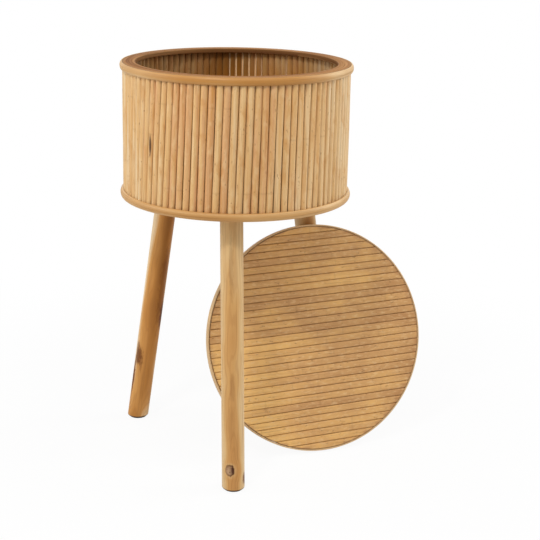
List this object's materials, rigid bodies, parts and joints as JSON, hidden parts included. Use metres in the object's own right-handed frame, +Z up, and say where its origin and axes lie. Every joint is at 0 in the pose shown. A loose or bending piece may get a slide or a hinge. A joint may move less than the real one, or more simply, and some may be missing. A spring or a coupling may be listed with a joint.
{
  "type": "storage table",
  "caption": "Round children's storage table: a drum of upright wooden rods on splayed round legs, with a loose slatted lid that leans against a leg.",
  "frame": {"origin": "on the floor, under the middle of the box round the table and its leaning lid; the table's own axis stands at x -0.0615, y 0.0122 m", "axes": "+Z up along the table, -Y towards the front leg and the viewer, +X towards the side where the lid leans"},
  "size_m": [0.466, 0.3666, 0.594],
  "materials": {
    "rod_wood": "satin lacquer",
    "hoop_wood": "satin lacquer",
    "ring_wood": "satin lacquer",
    "leg_wood": "satin lacquer",
    "slat_wood": "satin lacquer",
    "band_wood": "satin lacquer",
    "plywood": "sanded",
    "foot_rubber": "matt",
    "fixing_steel": "zinc plated"
  },
  "bodies": {
    "table": {"base_board": "plywood", "base_hoop": "hoop_wood", "foot_pad_front": "foot_rubber", "foot_pad_rear_left": "foot_rubber", "foot_pad_rear_right": "foot_rubber", "leg_bolts": "fixing_steel", "leg_front": "leg_wood", "leg_inserts": "fixing_steel", "leg_rear_left": "leg_wood", "leg_rear_right": "leg_wood", "leg_washers": "fixing_steel", "rim_hoop": "hoop_wood", "rim_ring": "ring_wood", "wall_rods_01": "rod_wood", "wall_rods_02": "rod_wood", "wall_rods_03": "rod_wood", "wall_rods_04": "rod_wood", "wall_rods_05": "rod_wood", "wall_rods_06": "rod_wood", "wall_rods_07": "rod_wood", "wall_rods_08": "rod_wood", "wall_rods_09": "rod_wood", "wall_rods_10": "rod_wood", "wall_rods_11": "rod_wood", "wall_rods_12": "rod_wood"},
    "lid": {"lid_board": "plywood", "lid_edge_band": "band_wood", "lid_locating_disc": "plywood", "lid_screws": "fixing_steel", "lid_slats_1": "slat_wood", "lid_slats_2": "slat_wood", "lid_slats_3": "slat_wood", "lid_slats_4": "slat_wood"}
  },
  "joints": [
    {"name": "lid_lift_away", "type": "slide", "parent": "table", "child": "lid", "axis": [0.9583, 0.2088, 0.1952], "range_m": [0, 0.32]}
  ]
}
